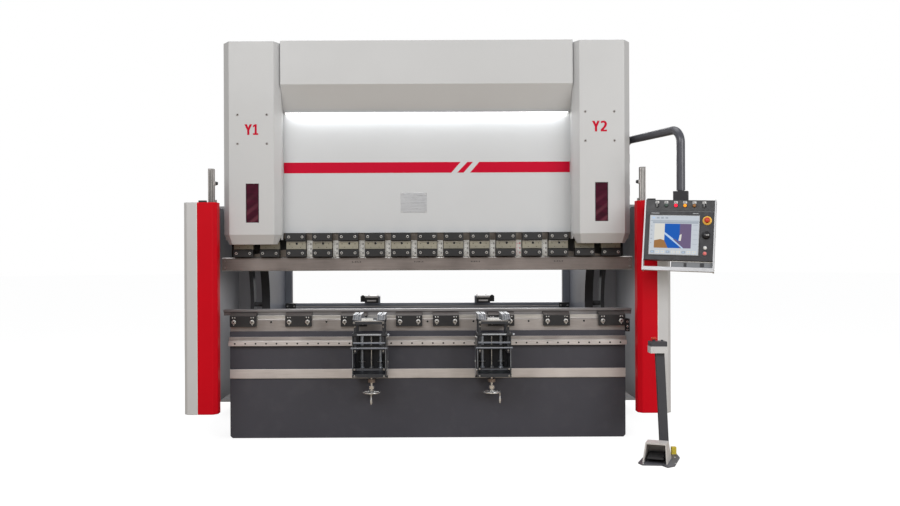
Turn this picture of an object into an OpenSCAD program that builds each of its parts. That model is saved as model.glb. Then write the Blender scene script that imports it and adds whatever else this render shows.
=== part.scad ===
// Hydraulic press brake for sheet metal, 3 m class, standing on a level floor.
// Frame: +X to the operator's right, +Y to the back, +Z up, in millimetres.
// The origin is on the floor, at mid length, in the plane of the bending tools.

/* [Bed and tools] */
// Length of the bed and of the ram plate
bed_len = 3050; // [2950:10:3100]
// Thickness of the bed, front to back
bed_t = 180; // [160:10:200]
// Height of the bed's top face over the floor
bed_h = 822; // [815:1:825]
// Height of the die's top face over the floor
die_top = 989; // [985:1:992]
// Length of the die and of its holder
die_len = 3170; // [3100:10:3180]
// Length of the steel beam under the ram
beam_len = 3190; // [3100:10:3200]
// Width of the V groove in the die
v_w = 24; // [10:1:40]

/* [Ram] */
// Thickness of the ram plate
ram_t = 70; // [60:5:80]
// Lower edge of the ram plate over the floor, ram up
ram_low = 1582; // [1580:1:1590]
// Top edge of the ram plate, ram up
ram_top = 2800; // [2700:10:2850]
// Distance between two tool clamps
clamp_pitch = 203.2; // [200:0.1:204]
// Width of one tool clamp
clamp_w = 151; // [120:1:160]

/* [Side frames] */
// Inner face of each side frame, from the middle
frame_in = 1307; // [1300:1:1310]
// Thickness of each side frame
frame_t = 69; // [50:1:70]
// Radius of the throat
throat_r = 560; // [540:5:570]
// Depth of the machine behind the tools
frame_back = 1600; // [1500:10:1800]
// Height of the side frames
frame_h = 3034; // [3031:1:3034]

/* [Covers] */
// Front face of the cylinder covers, in front of the tools
cover_front = 234; // [225:1:250]
// Lower edge of the cylinder covers
cover_low = 1493; // [1490:1:1500]
// Top of the cylinder covers
cover_top = 3030; // [3000:5:3040]
// Wall of the sheet covers as built
cover_wall = 10; // [8:1:12]

/* [Sheet supports] */
// Place of the left sheet support along the rail
left_x = -428; // [-800:1:-300]
// Place of the right sheet support along the rail
right_x = 487; // [300:1:800]
// Reach of the support tables in front of the tools
table_reach = 498; // [470:1:520]

/* [Console] */
// Height of the middle of the console
console_z = 1523; // [1500:1:1600]
// Turn of the console towards the operator, in degrees
console_yaw = 20; // [0:1:30]
// Lean of the console's face, in degrees
console_tilt = 10; // [0:1:15]
// how far the console leans to the right, degrees
console_lean = 2; // [0:0.5:5]

/* [Hidden] */
$fn = 48;

hb = bed_t / 2;
hl = bed_len / 2;
cyl_x = frame_in + frame_t / 2;
rod_piston = 45;
throat_y = -110;
throat_z = 1000;
arm_x = 1565;
arm_y = 116;
arm_z = 2303;
tube_r = 30.15;
con_x = 1815;
con_y = -600;
arm_ang = atan2(con_y - arm_y, con_x - arm_x);
arm_reach = sqrt(pow(con_x - arm_x, 2) + pow(con_y - arm_y, 2));
bend_r = 100;
rod_x = 71.5;
rod_y = -180;
rod_r = 12;
screw_r = 8;
ped_x = 1525;
ped_y = -866;

// a box from its low corner to its high corner
module bx(lo, hi) translate(lo) cube([hi[0] - lo[0], hi[1] - lo[1], hi[2] - lo[2]]);
// the same piece on both sides of the machine
module both() { children(); mirror([1, 0, 0]) children(); }
// a profile drawn in Y and Z, running along X
module along_x(x0, x1) translate([x0, 0, 0]) rotate([90, 0, 90]) linear_extrude(x1 - x0) children();
// a round bar along X
module bar_x(x0, x1, y, z, r) translate([x0, y, z]) rotate([0, 90, 0]) cylinder(r = r, h = x1 - x0);
// a round bar along Y
module bar_y(y0, y1, x, z, r) translate([x, y1, z]) rotate([90, 0, 0]) cylinder(r = r, h = y1 - y0);

// ---- bed, rail and lower tools ----

module bed() color("#46464c") {
  difference() {
    bx([-hl, -hb, 0], [hl, hb, bed_h]);
    for (s = [-1, 1]) translate([s * hl, 0, 0]) rotate([0, 45, 0]) cube([24, bed_t + 2, 24], center = true);
  }
  // machined strip that the support feet run along
  bx([-hl, -hb - 10, 461], [hl, -hb, 533]);
}

module guide_rail() color("#b9b2ab") {
  bx([-hl - 5, -hb - 15, 716], [hl + 5, -hb, 782]);
  bx([-hl - 5, -hb - 37, 714], [hl + 5, -hb - 15, 750]);
}

module die_holder() color("#8a8078")
  along_x(-hl, hl) polygon([[-72, bed_h], [72, bed_h], [72, 908], [60, 914], [60, 944], [-60, 944], [-60, 914], [-72, 908]]);

module die() color("#a9a7a5")
  along_x(-die_len / 2, die_len / 2) polygon([[-30, 944], [30, 944], [30, 968], [45, 972], [45, die_top],
    [v_w / 2, die_top], [0, die_top - v_w / 2], [-v_w / 2, die_top], [-45, die_top], [-45, 972], [-30, 968]]);

clamp_x = [142, 568, 996, 1423];
module die_clamps() color("#232326") both()
  for (x = clamp_x) along_x(x - 101.5, x + 101.5)
    polygon([[-72, 859], [-100, 859], [-100, 942], [-48, 966], [-30.5, 966], [-30.5, 944.2], [-72, 944.2]]);

module crowning_block() color("#1c1c1e") difference() {
  bx([hl, -78, 811], [hl + 38, 30, 908]);
  bar_y(-79, -66, hl + 19, 850, 9);
}

// ---- side frames ----

module frame_side() {
  difference() {
    along_x(frame_in, frame_in + frame_t)
      polygon([[hb, 30], [frame_back, 30], [frame_back, 1750], [1350, frame_h], [140, frame_h],
        [140, 2200], [60, 2200], [60, 1450], [hb, 1000]]);
    bar_x(frame_in - 1, frame_in + frame_t + 1, throat_y, throat_z, throat_r);
  }
  // feet with one anchor hole each
  for (y = [[hb + 5, 300], [1420, frame_back]]) difference() {
    bx([1250, y[0], 0], [1445, y[1], 30]);
    translate([1412, (y[0] + y[1]) / 2, -1]) cylinder(r = 11, h = 32);
  }
  // gib blocks that guide the ram
  bx([frame_in - 17, 41, 1620], [frame_in + frame_t + 17, 60, 1900]);
}
module frame_right() color("#7c8088") frame_side();
module frame_left() color("#7c8088") mirror([1, 0, 0]) frame_side();

// thin measuring frames beside the side frames
module gauge_frames() color("#2b2b2f") both() {
  intersection() {
    along_x(1440, 1470) difference() {
      translate([throat_y, throat_z]) circle(r = throat_r + 90, $fn = 96);
      translate([throat_y, throat_z]) circle(r = throat_r, $fn = 96);
    }
    bx([1430, 170, 560], [1480, 700, 1440]);
  }
  for (a = [-35, 0, 35])
    bar_x(frame_in + frame_t, 1440, throat_y + (throat_r + 45) * cos(a), throat_z + (throat_r + 45) * sin(a), 20);
}

module cabinet() {
  bx([frame_in + frame_t, 870, 156], [1842, 1560, 1841]);
  bx([frame_in + frame_t, 860, 124], [1842, 1560, 156]);
}
module cabinet_right() color("#5d5f64") cabinet();
module cabinet_left() color("#5d5f64") mirror([1, 0, 0]) cabinet();

// side panels between the front guards and the cabinets
module side_panels() color("#5d5f64") both()
  bx([1655, -300, 254], [1667, 870, 1790]);

module guard_fronts() color("#c8102e") both()
  translate([0, 0, 238]) linear_extrude(1566)
    polygon([[1551, -300], [1551, -381], [1582, -412], [1695, -412], [1695, -300]]);
module guard_sides() color("#d3d1ce") both()
  translate([0, 0, 238]) linear_extrude(1566)
    polygon([[1695, -300], [1695, -412], [1770, -412], [1796, -386], [1796, -300]]);
module guard_posts() color("#9a9692") {
  both() bx([1576, -388, 1804], [1617, -339, 2050]);
  // knob on the inner side
  both() bx([1564, -380, 1930], [1576, -350, 1960]);
}

// ---- covers ----

module fascia() color("#e6e5e2") {
  along_x(-1114, 1114) polygon([[-184, 2711], [-184, frame_h + 10], [-40, frame_h + 10], [-40, 2521]]);
  bx([-frame_in - frame_t, -40, frame_h], [frame_in + frame_t, 300, frame_h + 10]);
}

module cover_plan(inset) {
  polygon([[1114 + inset, -45 + 2 * inset], [1114 + inset, -150 + inset / 2], [1155 + inset / 2, -cover_front + inset],
    [1495 - inset / 2, -cover_front + inset], [1550 - inset, -154 + inset / 2], [1550 - inset, -45 + 2 * inset]]);
}
// bevelled lower end of a cover, in front of the clamps
module cover_nose(w, z0, z1) hull() {
  translate([0, 0, z1]) linear_extrude(1) polygon([[1114 + w, -100 + w], [1114 + w, -150 + w / 2], [1155 + w / 2, -cover_front + w],
    [1495 - w / 2, -cover_front + w], [1550 - w, -154 + w / 2], [1550 - w, -100 + w]]);
  translate([0, 0, z0]) linear_extrude(1) polygon([[1150 + w, -100 + w], [1150 + w, -150 + w / 2], [1172 + w / 2, -190 + w],
    [1482 - w / 2, -190 + w], [1512 - w, -150 + w / 2], [1512 - w, -100 + w]]);
}
module cover_side() {
  difference() {
    union() {
      translate([0, 0, 1567]) linear_extrude(cover_top - 1567) cover_plan(0);
      cover_nose(0, cover_low, 1567);
      bx([1114, -110, 1528], [1114 + cover_wall, -45, 1600]);
      bx([1550 - cover_wall, -110, 1528], [1550, -45, 1600]);
    }
    cover_nose(cover_wall, cover_low - 1.5, 1568);
    bx([1114 + cover_wall, -110, cover_low - 2], [1550 - cover_wall, 0, 1600]);
    translate([0, 0, 1568]) linear_extrude(cover_top - 1578) cover_plan(cover_wall);
    bx([1114 + cover_wall, -100, 1580], [1550 - cover_wall, 0, cover_top - 10]);
    // window
    bx([1272, -cover_front - 5, 1658], [1368, -cover_front + 20, 1953]);
  }
  // brackets to the side frame
  bx([cyl_x - 50, -60, cover_top - 20], [cyl_x + 50, 140, cover_top - 10]);
  bx([1550 - cover_wall, -45, 1610], [1550, 90, 1690]);
  bx([frame_in + frame_t, 80, 1610], [1550 - cover_wall, 90, 1690]);
}
module cover_right() color("#dddcd8") cover_side();
module cover_left() color("#dddcd8") mirror([1, 0, 0]) cover_side();

module cover_windows() color("#4b1428") both()
  bx([1272, -cover_front + 3, 1658], [1368, -cover_front + 8, 1953]);

// ---- hydraulics and rear ----

module cylinders() color("#3d3f44") both() difference() {
  union() {
    translate([cyl_x, 0, 2230]) cylinder(r = 125, h = 670);
    bx([cyl_x - 90, 40, 2300], [cyl_x + 90, 140, 2850]);
    bx([cyl_x - 120, -100, 2900], [cyl_x + 120, 140, 2930]);
  }
  translate([cyl_x, 0, 2229]) cylinder(r = rod_piston + 0.05, h = 471);
}

module oil_tank() color("#4a4c52") {
  bx([-frame_in, 420, 2150], [frame_in, 1000, 2700]);
  bx([-250, 560, 2700], [50, 860, 2760]);
  bar_x(-230, 160, 710, 2850, 95);
}

module rear_frame() color("#454c55") {
  both() bx([1244, 1240, 200], [frame_in, 1300, 2150]);
  bx([-frame_in, 1240, 120], [frame_in, 1300, 200]);
  bx([-frame_in, 1240, 2000], [frame_in, 1300, 2150]);
  bx([-frame_in, 1420, 60], [frame_in, 1560, 420]);
}

module gauge_rails() color("#6e7277") both() {
  bx([1215, 130, 800], [frame_in, 1235, 880]);
  bx([1240, 130, 880], [1264, 1235, 895]);
}

// ---- ram, rods and upper tools ----

module ram() color("#dcdbd8") {
  difference() {
    bx([-hl, -ram_t / 2, ram_low], [hl, ram_t / 2, ram_top]);
    both() bx([1175, -ram_t, 2190], [hl + 5, ram_t, ram_top + 1]);
  }
}

module piston_rods() color("#c9cbce") both() {
  translate([cyl_x, 0, 2210]) cylinder(r = rod_piston, h = 390);
  bx([cyl_x - 80, -50, 2190], [cyl_x + 80, 35, 2212]);
}

module tool_holder() color("#8d8f84") {
  bx([-hl, -15, 1393], [hl, 35, ram_low]);
  for (i = [-7 : 7]) bx([i * clamp_pitch - 75, -62, 1457], [i * clamp_pitch + 75, -15, 1516]);
}

module upper_clamps() color("#26262a")
  for (i = [-7 : 7]) {
    bx([i * clamp_pitch - clamp_w / 2, -95, 1522], [i * clamp_pitch + clamp_w / 2, -15, 1581]);
    bx([i * clamp_pitch - clamp_w / 2, -82, 1399], [i * clamp_pitch + clamp_w / 2, -15, 1453]);
  }

module punch_beam() color("#7a6f66")
  along_x(-beam_len / 2, beam_len / 2) polygon([[-40, 1294], [-34, 1288], [34, 1288], [40, 1294], [40, 1387], [34, 1393], [-34, 1393], [-40, 1387]]);

// ---- console and its arm ----

module arm_bracket() color("#2a2b2f") difference() {
  union() {
    bx([frame_in + frame_t, 70, 1870], [1565, 162, 1960]);
    translate([arm_x, arm_y, 1870]) cylinder(r = 46, h = 90);
    bx([frame_in + frame_t, 70, 2130], [1565, 162, 2200]);
    translate([arm_x, arm_y, 2130]) cylinder(r = 46, h = 70);
  }
  translate([arm_x, arm_y, 1860]) cylinder(r = tube_r + 0.05, h = 360);
}

module console_arm() color("#4b4d54") translate([arm_x, arm_y, 0]) rotate([0, 0, arm_ang]) {
  translate([0, 0, 1862]) cylinder(r = tube_r, h = arm_z - bend_r - 1862);
  translate([0, 0, 2201]) cylinder(r = 40, h = 2);
  for (b = [[bend_r, 180, 90], [arm_reach - bend_r, 90, 0]])
    translate([b[0], 0, arm_z - bend_r]) rotate([90, 0, 0]) rotate([0, 0, b[2]]) rotate_extrude(angle = 90) translate([bend_r, 0]) circle(r = tube_r);
  translate([bend_r, 0, arm_z]) rotate([0, 90, 0]) cylinder(r = tube_r, h = arm_reach - 2 * bend_r);
  translate([arm_reach, 0, 1862]) cylinder(r = tube_r, h = arm_z - bend_r - 1862);
  translate([arm_reach, 0, 1806]) cylinder(r = 22, h = 60);
}

module at_console() translate([con_x, con_y, console_z]) rotate([0, 0, -console_yaw]) rotate([-console_tilt, 0, 0])
  rotate([0, console_lean, 0]) translate([-8.5, -95, 0]) children();

module console_box() color("#2a2b30") {
  difference() {
    union() {
      at_console() bx([-235, 0, -178], [235, 60, 255]);
      translate([con_x, con_y, 1725]) rotate([0, 0, -console_yaw]) translate([-51, -40, 0]) cube([102, 80, 131]);
    }
    translate([con_x, con_y, 1800]) cylinder(r = 22.06, h = 70);
  }
  // tray below the panel
  at_console() bx([-45, 20, -226], [235, 50, -178]);
}
module console_frame() color("#cfcfcd") at_console() {
  for (s = [-1, 1]) translate([s * 240, 0, 0]) bx([-5, -6, -255], [5, 60, 258]);
  bx([-235, -6, -255], [235, 24, -227]);
}

// ---- sheet supports on the rail ----

module support(x) translate([x, 0, 0]) {
  difference() {
    union() {
      // back plate, side plates, bottom plate
      bx([-125, -150, 470], [125, -142, 812]);
      for (s = [-1, 1]) translate([s * 121, 0, 0]) along_x(-4, 4)
        polygon([[-150, 470], [-150, 812], [-300, 836], [-450, 836], [-450, 513], [-260, 513]]);
      bx([-117, -450, 513], [117, -150, 538]);
      // plate that holds the rods at the top
      bx([-88, -205, 797], [88, -150, 812]);
      // bars across the front
      bx([-125, -460, 513], [125, -450, 538]);
      bx([-125, -460, 565], [125, -450, 582]);
      bx([-135, -460, 723], [135, -450, 733]);
      bx([-125, -460, 818], [150, -450, 836]);
      // linear bearings on the rail
      for (s = [-1, 1]) bx([s * 80 - 30, -142, 700], [s * 80 + 30, -hb - 20, 764]);
      // glide on the machined strip
      for (s = [-1, 1]) bx([s * 80 - 30, -142, 470], [s * 80 + 30, -hb - 15.5, 520]);
      for (s = [-1, 1]) translate([s * rod_x, rod_y, 520]) cylinder(r = rod_r, h = 290);
    }
    bx([-120, -hb - 37.5, 713.5], [120, -hb, 750.5]);
    translate([0, rod_y, 500]) cylinder(r = screw_r + 0.05, h = 50);
  }
}
module support_left() color("#34353a") support(left_x);
module support_right() color("#34353a") support(right_x);

module table(x) translate([x, 0, 0]) {
  // two slotted rails with a ramp at the front
  for (s = [-1, 1]) difference() {
    translate([s * 88, 0, 0]) along_x(-28, 28)
      polygon([[-149, 932], [-149, 972], [-420, 972], [-table_reach, 940], [-table_reach, 932]]);
    bx([s * 88 - 5, -table_reach - 1, 962], [s * 88 + 5, -148, 975]);
  }
  bx([-116, -table_reach, 905], [116, -430, 932]);
  bx([-116, -230, 905], [116, -149, 932]);
  for (s = [-1, 1]) {
    bx([s * 104 - 8, -445, 690], [s * 104 + 8, -415, 906]);
    bx([s * 104 - 8, -215, 690], [s * 104 + 8, -155, 906]);
    bx([s * 104 - 8, -430, 690], [s * 104 + 8, -200, 722]);
  }
  difference() {
    bx([-100, -205, 690], [100, -156, 722]);
    for (s = [-1, 1]) translate([s * rod_x, rod_y, 680]) cylinder(r = rod_r + 0.05, h = 50);
    translate([0, rod_y, 680]) cylinder(r = screw_r + 0.05, h = 50);
  }
}
module table_left() color("#3b3d42") table(left_x);
module table_right() color("#3b3d42") table(right_x);

module handwheel(x, ang) translate([x, rod_y, 0]) {
  translate([0, 0, 362]) cylinder(r = screw_r, h = 428);
  translate([0, 0, 543]) cylinder(r = 15, h = 15);
  translate([0, 0, 440]) cylinder(r = 28, h = 24);
  translate([0, 0, 390]) cylinder(r = 22, h = 24);
  translate([0, 0, 352]) cylinder(r = 18, h = 30);
  translate([0, 0, 364]) rotate_extrude() translate([62, 0]) circle(r = 7);
  rotate([0, 0, ang]) {
    for (a = [0, 120, 240]) rotate([0, 0, a]) translate([0, 0, 366]) rotate([0, 90, 0]) cylinder(r = 5, h = 62);
    translate([62, 0, 335]) cylinder(r = 4, h = 30);
    translate([62, 0, 279]) rotate_extrude() polygon([[0, 0], [5, 2], [9, 18], [8, 36], [5, 56], [0, 58]]);
  }
}
module handwheel_left() color("#c8c6c2") handwheel(left_x, -90);
module handwheel_right() color("#c8c6c2") handwheel(right_x, -10);

// ---- back gauge ----

module gauge_beam() color("#4f5862") {
  bx([-1190, 1100, 905], [1190, 1180, 960]);
  bx([-1190, 1112, 960], [1190, 1140, 972]);
}
// carriages that carry the beam on the side rails
module gauge_carriages() color("#4f5862") both() difference() {
  union() {
    bx([1190, 1100, 898], [1281, 1180, 972]);
    bx([1222, 1090, 884], [1281, 1190, 920]);
  }
  bx([1239.5, 1080, 870], [1264.5, 1200, 895.5]);
}
module finger(s) {
  difference() {
    bx([-60, 1086, 962], [60, 1194, 1034]);
    bx([-61, 1111.5, 950], [61, 1140.5, 972.5]);
  }
  bx([-38, 900, 992], [38, 1090, 1024]);
  bx([-60, 862, 985], [60, 905, 1048]);
  // hinged stop beside the block, folded out
  bx([s * 78 - 20, 880, 995], [s * 78 + 20, 905, 1046]);
}
module finger_left() color("#8c9096") translate([-490, 0, 0]) finger(-1);
module finger_right() color("#8c9096") translate([490, 0, 0]) finger(1);

// ---- foot pedal ----

// the hood and the pedal in it face the operator, turned from the machine's front
module at_hood() translate([1557, -915, 0]) rotate([0, 0, -22]) translate([-ped_x, 915, 0]) children();

module pedal_base() color("#4a4c50") {
  linear_extrude(8) polygon([[1412, -978], [1428, -1038], [1554, -1050], [1578, -1111], [1635, -1072],
    [1734, -834], [1746, -700], [1520, -700], [1511, -761]]);
  // lugs for the pedal's pin
  at_hood() for (s = [-1, 1]) difference() {
    bx([ped_x + s * 62 - 4, ped_y - 10, 8], [ped_x + s * 62 + 4, ped_y + 10, 46]);
    bar_x(ped_x - 80, ped_x + 80, ped_y, 34, 5.05);
  }
  // cable entry
  bx([1703, -745, 8], [1736, -715, 59]);
}

module pedal_hood() color("#cfccc8") at_hood() difference() {
  hull() {
    translate([ped_x, -917, 8]) linear_extrude(1) square([165, 214], center = true);
    translate([ped_x + 6, -964, 142]) linear_extrude(1) square([138, 111], center = true);
  }
  hull() {
    translate([ped_x, -937, -1]) linear_extrude(1) square([149, 240], center = true);
    translate([ped_x + 6, -994, 132]) linear_extrude(1) square([122, 150], center = true);
  }
}

module pedal_post() color("#46474c") {
  translate([0, -770, 8]) rotate([90, 0, 0]) linear_extrude(30) polygon([[1612, 0], [1672, 0], [1640, 717], [1580, 717]]);
  translate([1595, -790, 725]) {
    bx([-58, -45, 0], [58, 45, 46]);
    bx([-56, -43, 46], [56, 43, 80]);
    translate([31, 0, 80]) cylinder(r = 8, h = 9);
    // stop button
    translate([-26, 0, 80]) cylinder(r = 11, h = 14);
    translate([-26, 0, 92]) cylinder(r1 = 17, r2 = 20, h = 6);
    translate([-26, 0, 98]) cylinder(r1 = 20, r2 = 15, h = 9);
  }
}

module pedal() color("#1e1e20") at_hood() {
  bar_x(ped_x - 66, ped_x + 66, ped_y, 34, 5);
  along_x(ped_x - 52, ped_x + 52)
    polygon([[-872, 26], [-1012, 34], [-1012, 46], [-884, 62], [-874, 58], [-862, 38], [-862, 30]]);
}

bed();
guide_rail();
die_holder();
die();
die_clamps();
crowning_block();
frame_left();
frame_right();
gauge_frames();
cabinet_left();
cabinet_right();
side_panels();
guard_fronts();
guard_sides();
guard_posts();
fascia();
cover_left();
cover_right();
cover_windows();
cylinders();
oil_tank();
rear_frame();
gauge_rails();
arm_bracket();
pedal_base();
pedal_hood();
pedal_post();
ram();
piston_rods();
tool_holder();
upper_clamps();
punch_beam();
console_arm();
console_box();
console_frame();
support_left();
support_right();
table_left();
table_right();
handwheel_left();
handwheel_right();
gauge_beam();
gauge_carriages();
finger_left();
finger_right();
pedal();
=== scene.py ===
import bpy
import bmesh
import math
from mathutils import Vector, Matrix, Euler


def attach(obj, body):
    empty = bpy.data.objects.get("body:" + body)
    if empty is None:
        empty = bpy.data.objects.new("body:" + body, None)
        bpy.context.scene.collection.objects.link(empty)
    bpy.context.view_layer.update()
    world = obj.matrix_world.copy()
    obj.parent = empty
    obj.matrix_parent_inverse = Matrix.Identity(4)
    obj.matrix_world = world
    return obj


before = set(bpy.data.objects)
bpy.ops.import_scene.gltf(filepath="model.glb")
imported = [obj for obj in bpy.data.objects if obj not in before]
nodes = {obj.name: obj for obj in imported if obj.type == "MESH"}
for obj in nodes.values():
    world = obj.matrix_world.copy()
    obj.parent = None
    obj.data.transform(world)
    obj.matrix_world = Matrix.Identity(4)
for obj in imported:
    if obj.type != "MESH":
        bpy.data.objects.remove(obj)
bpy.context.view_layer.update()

scene = bpy.context.scene


# ---------------------------------------------------------------- materials

def node_link(nt, a, b):
    nt.links.new(a, b)


def base(name):
    m = bpy.data.materials.new(name)
    m.use_nodes = True
    nt = m.node_tree
    nt.nodes.clear()
    out = nt.nodes.new("ShaderNodeOutputMaterial")
    p = nt.nodes.new("ShaderNodeBsdfPrincipled")
    node_link(nt, p.outputs[0], out.inputs[0])
    return m, nt, p


def noise(nt, coord, scale, detail=3.0, stretch=(1, 1, 1)):
    mp = nt.nodes.new("ShaderNodeMapping")
    mp.inputs["Scale"].default_value = stretch
    node_link(nt, coord, mp.inputs["Vector"])
    n = nt.nodes.new("ShaderNodeTexNoise")
    n.inputs["Scale"].default_value = scale
    n.inputs["Detail"].default_value = detail
    node_link(nt, mp.outputs[0], n.inputs["Vector"])
    return n.outputs["Fac"]


def mix_color(nt, fac, a, b, lo=0.35, hi=0.65):
    r = nt.nodes.new("ShaderNodeValToRGB")
    r.color_ramp.elements[0].position = lo
    r.color_ramp.elements[1].position = hi
    r.color_ramp.elements[0].color = (*a, 1)
    r.color_ramp.elements[1].color = (*b, 1)
    node_link(nt, fac, r.inputs[0])
    return r.outputs[0]


def span(nt, fac, lo, hi, f0=0.3, f1=0.7):
    r = nt.nodes.new("ShaderNodeMapRange")
    r.inputs["From Min"].default_value = f0
    r.inputs["From Max"].default_value = f1
    r.inputs["To Min"].default_value = lo
    r.inputs["To Max"].default_value = hi
    node_link(nt, fac, r.inputs["Value"])
    return r.outputs[0]


def bump(nt, fac, p, strength, dist):
    b = nt.nodes.new("ShaderNodeBump")
    b.inputs["Strength"].default_value = strength
    b.inputs["Distance"].default_value = dist
    node_link(nt, fac, b.inputs["Height"])
    node_link(nt, b.outputs[0], p.inputs["Normal"])


def paint(name, col, rough=0.45, var=0.05, coat=0.0, grain=420.0, peel=0.12, spec=0.5, soil=None):
    """Sprayed paint: faint colour drift, orange peel and some uneven gloss."""
    m, nt, p = base(name)
    tc = nt.nodes.new("ShaderNodeTexCoord").outputs["Object"]
    big = noise(nt, tc, 1.7, 4)
    lo = tuple(c * (1 - var) for c in col)
    hi = tuple(min(1, c * (1 + var)) for c in col)
    c = mix_color(nt, big, lo, hi, 0.3, 0.7)
    if soil:
        fine = noise(nt, tc, 9.0, 8)
        mx = nt.nodes.new("ShaderNodeMix")
        mx.data_type = "RGBA"
        node_link(nt, span(nt, fine, 0.0, soil[1], 0.52, 0.75), mx.inputs[0])
        node_link(nt, c, mx.inputs[6])
        mx.inputs[7].default_value = (*soil[0], 1)
        c = mx.outputs[2]
    node_link(nt, c, p.inputs["Base Color"])
    node_link(nt, span(nt, noise(nt, tc, 5.0, 5), rough * 0.9, min(1, rough * 1.12)), p.inputs["Roughness"])
    p.inputs["Specular IOR Level"].default_value = spec
    p.inputs["Coat Weight"].default_value = coat
    p.inputs["Coat Roughness"].default_value = 0.15
    bump(nt, noise(nt, tc, grain, 2), p, peel, 0.0006)
    return m


def steel(name, col, rough=0.38, along="x", metal=0.9, streak=0.16, mottle=0.12, tint=None):
    """Machined steel: fine streaks along the cut, oil mottling, a small bump."""
    m, nt, p = base(name)
    tc = nt.nodes.new("ShaderNodeTexCoord").outputs["Object"]
    st = {"x": (1.0, 60, 60), "y": (60, 1.0, 60), "z": (60, 60, 1.0), "n": (20, 20, 20)}[along]
    fine = noise(nt, tc, 6.0, 6, st)
    cloud = noise(nt, tc, 3.2, 6)
    add = nt.nodes.new("ShaderNodeMath")
    add.operation = "ADD"
    node_link(nt, span(nt, fine, -streak, streak), add.inputs[0])
    node_link(nt, span(nt, cloud, 0.5 - mottle, 0.5 + mottle), add.inputs[1])
    t = tint or tuple(c * 0.72 for c in col)
    c = mix_color(nt, add.outputs[0], t, tuple(min(1, c * 1.18) for c in col), 0.25, 0.75)
    node_link(nt, c, p.inputs["Base Color"])
    p.inputs["Metallic"].default_value = metal
    node_link(nt, span(nt, fine, rough * 0.8, min(1, rough * 1.25)), p.inputs["Roughness"])
    bump(nt, fine, p, 0.10, 0.0004)
    return m


def plastic(name, col, rough=0.5, grain=900.0, peel=0.18, var=0.06):
    m, nt, p = base(name)
    tc = nt.nodes.new("ShaderNodeTexCoord").outputs["Object"]
    c = mix_color(nt, noise(nt, tc, 12.0, 4), tuple(x * (1 - var) for x in col), tuple(min(1, x * (1 + var)) for x in col))
    node_link(nt, c, p.inputs["Base Color"])
    node_link(nt, span(nt, noise(nt, tc, 30.0, 3), rough * 0.88, min(1, rough * 1.12)), p.inputs["Roughness"])
    bump(nt, noise(nt, tc, grain, 2), p, peel, 0.0004)
    return m


def glow(name, col, strength, base_col=None):
    m, nt, p = base(name)
    tc = nt.nodes.new("ShaderNodeTexCoord").outputs["Object"]
    c = mix_color(nt, noise(nt, tc, 40.0, 2), tuple(x * 0.95 for x in (base_col or col)), base_col or col)
    node_link(nt, c, p.inputs["Base Color"])
    p.inputs["Roughness"].default_value = 0.5
    p.inputs["Specular IOR Level"].default_value = 0.12
    p.inputs["Emission Color"].default_value = (*col, 1)
    p.inputs["Emission Strength"].default_value = strength
    return m


M = {}
M["light"] = paint("light_paint", (0.585, 0.592, 0.598), 0.42, 0.02, peel=0.10)
M["ram"] = paint("ram_paint", (0.610, 0.625, 0.640), 0.42, 0.02, peel=0.10)
M["guard_light"] = paint("guard_light_paint", (0.600, 0.600, 0.605), 0.42, 0.03)
M["dark"] = paint("bed_paint", (0.060, 0.060, 0.075), 0.48, 0.08, spec=0.4, soil=((0.085, 0.085, 0.098), 0.35))
M["grey"] = paint("cabinet_paint", (0.150, 0.150, 0.162), 0.46, 0.07)
# lighter grey for the faces looking into the shaded cavities: painted light
M["inner"] = paint("inner_paint", (0.33, 0.33, 0.345), 0.5, 0.06)
M["plinth"] = paint("plinth_paint", (0.20, 0.21, 0.225), 0.46, 0.06)
M["frame"] = paint("frame_paint", (0.22, 0.235, 0.275), 0.36, 0.08, coat=0.2)
M["red"] = paint("red_paint", (0.600, 0.0012, 0.010), 0.42, 0.06, coat=0.0, peel=0.08, spec=0.12)
M["red_mark"] = paint("red_film", (0.560, 0.002, 0.028), 0.45, 0.03, peel=0.03, spec=0.1)
M["black"] = paint("black_steel", (0.020, 0.020, 0.022), 0.42, 0.15, spec=0.45, soil=((0.05, 0.048, 0.045), 0.4))
M["support"] = paint("support_paint", (0.030, 0.032, 0.038), 0.40, 0.12, soil=((0.07, 0.07, 0.075), 0.4))
M["ground"] = steel("ground_steel", (0.42, 0.390, 0.375), 0.42, "x", 0.6, 0.12, 0.22, (0.23, 0.205, 0.195))
M["beam"] = steel("beam_steel", (0.270, 0.235, 0.220), 0.44, "x", 0.5, 0.10, 0.20, (0.175, 0.150, 0.140))
M["bright"] = steel("bright_steel", (0.66, 0.64, 0.62), 0.34, "x", 0.9, 0.2, 0.14)
M["rail"] = steel("rail_steel", (0.72, 0.68, 0.67), 0.36, "x", 0.6, 0.15, 0.12)
M["strip"] = steel("strip_steel", (0.69, 0.645, 0.625), 0.42, "x", 0.4, 0.12, 0.16, (0.53, 0.49, 0.47))
M["adapter"] = steel("adapter_steel", (0.36, 0.34, 0.27), 0.45, "x", 0.6, 0.10, 0.25, (0.26, 0.245, 0.20))
M["holder"] = steel("holder_steel", (0.19, 0.165, 0.145), 0.45, "x", 0.5, 0.10, 0.2)
M["chrome"] = steel("chrome", (0.80, 0.79, 0.775), 0.16, "n", 0.9, 0.04, 0.04, (0.68, 0.67, 0.65))
M["wheel"] = steel("wheel_chrome", (0.86, 0.855, 0.85), 0.17, "n", 0.8, 0.12, 0.14, (0.56, 0.55, 0.54))
M["die"] = steel("die_steel", (0.29, 0.28, 0.285), 0.40, "x", 0.5, 0.16, 0.18, (0.20, 0.19, 0.19))
M["rod"] = steel("rod_steel", (0.62, 0.66, 0.72), 0.25, "z", 0.45, 0.10, 0.10, (0.45, 0.48, 0.53))
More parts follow.
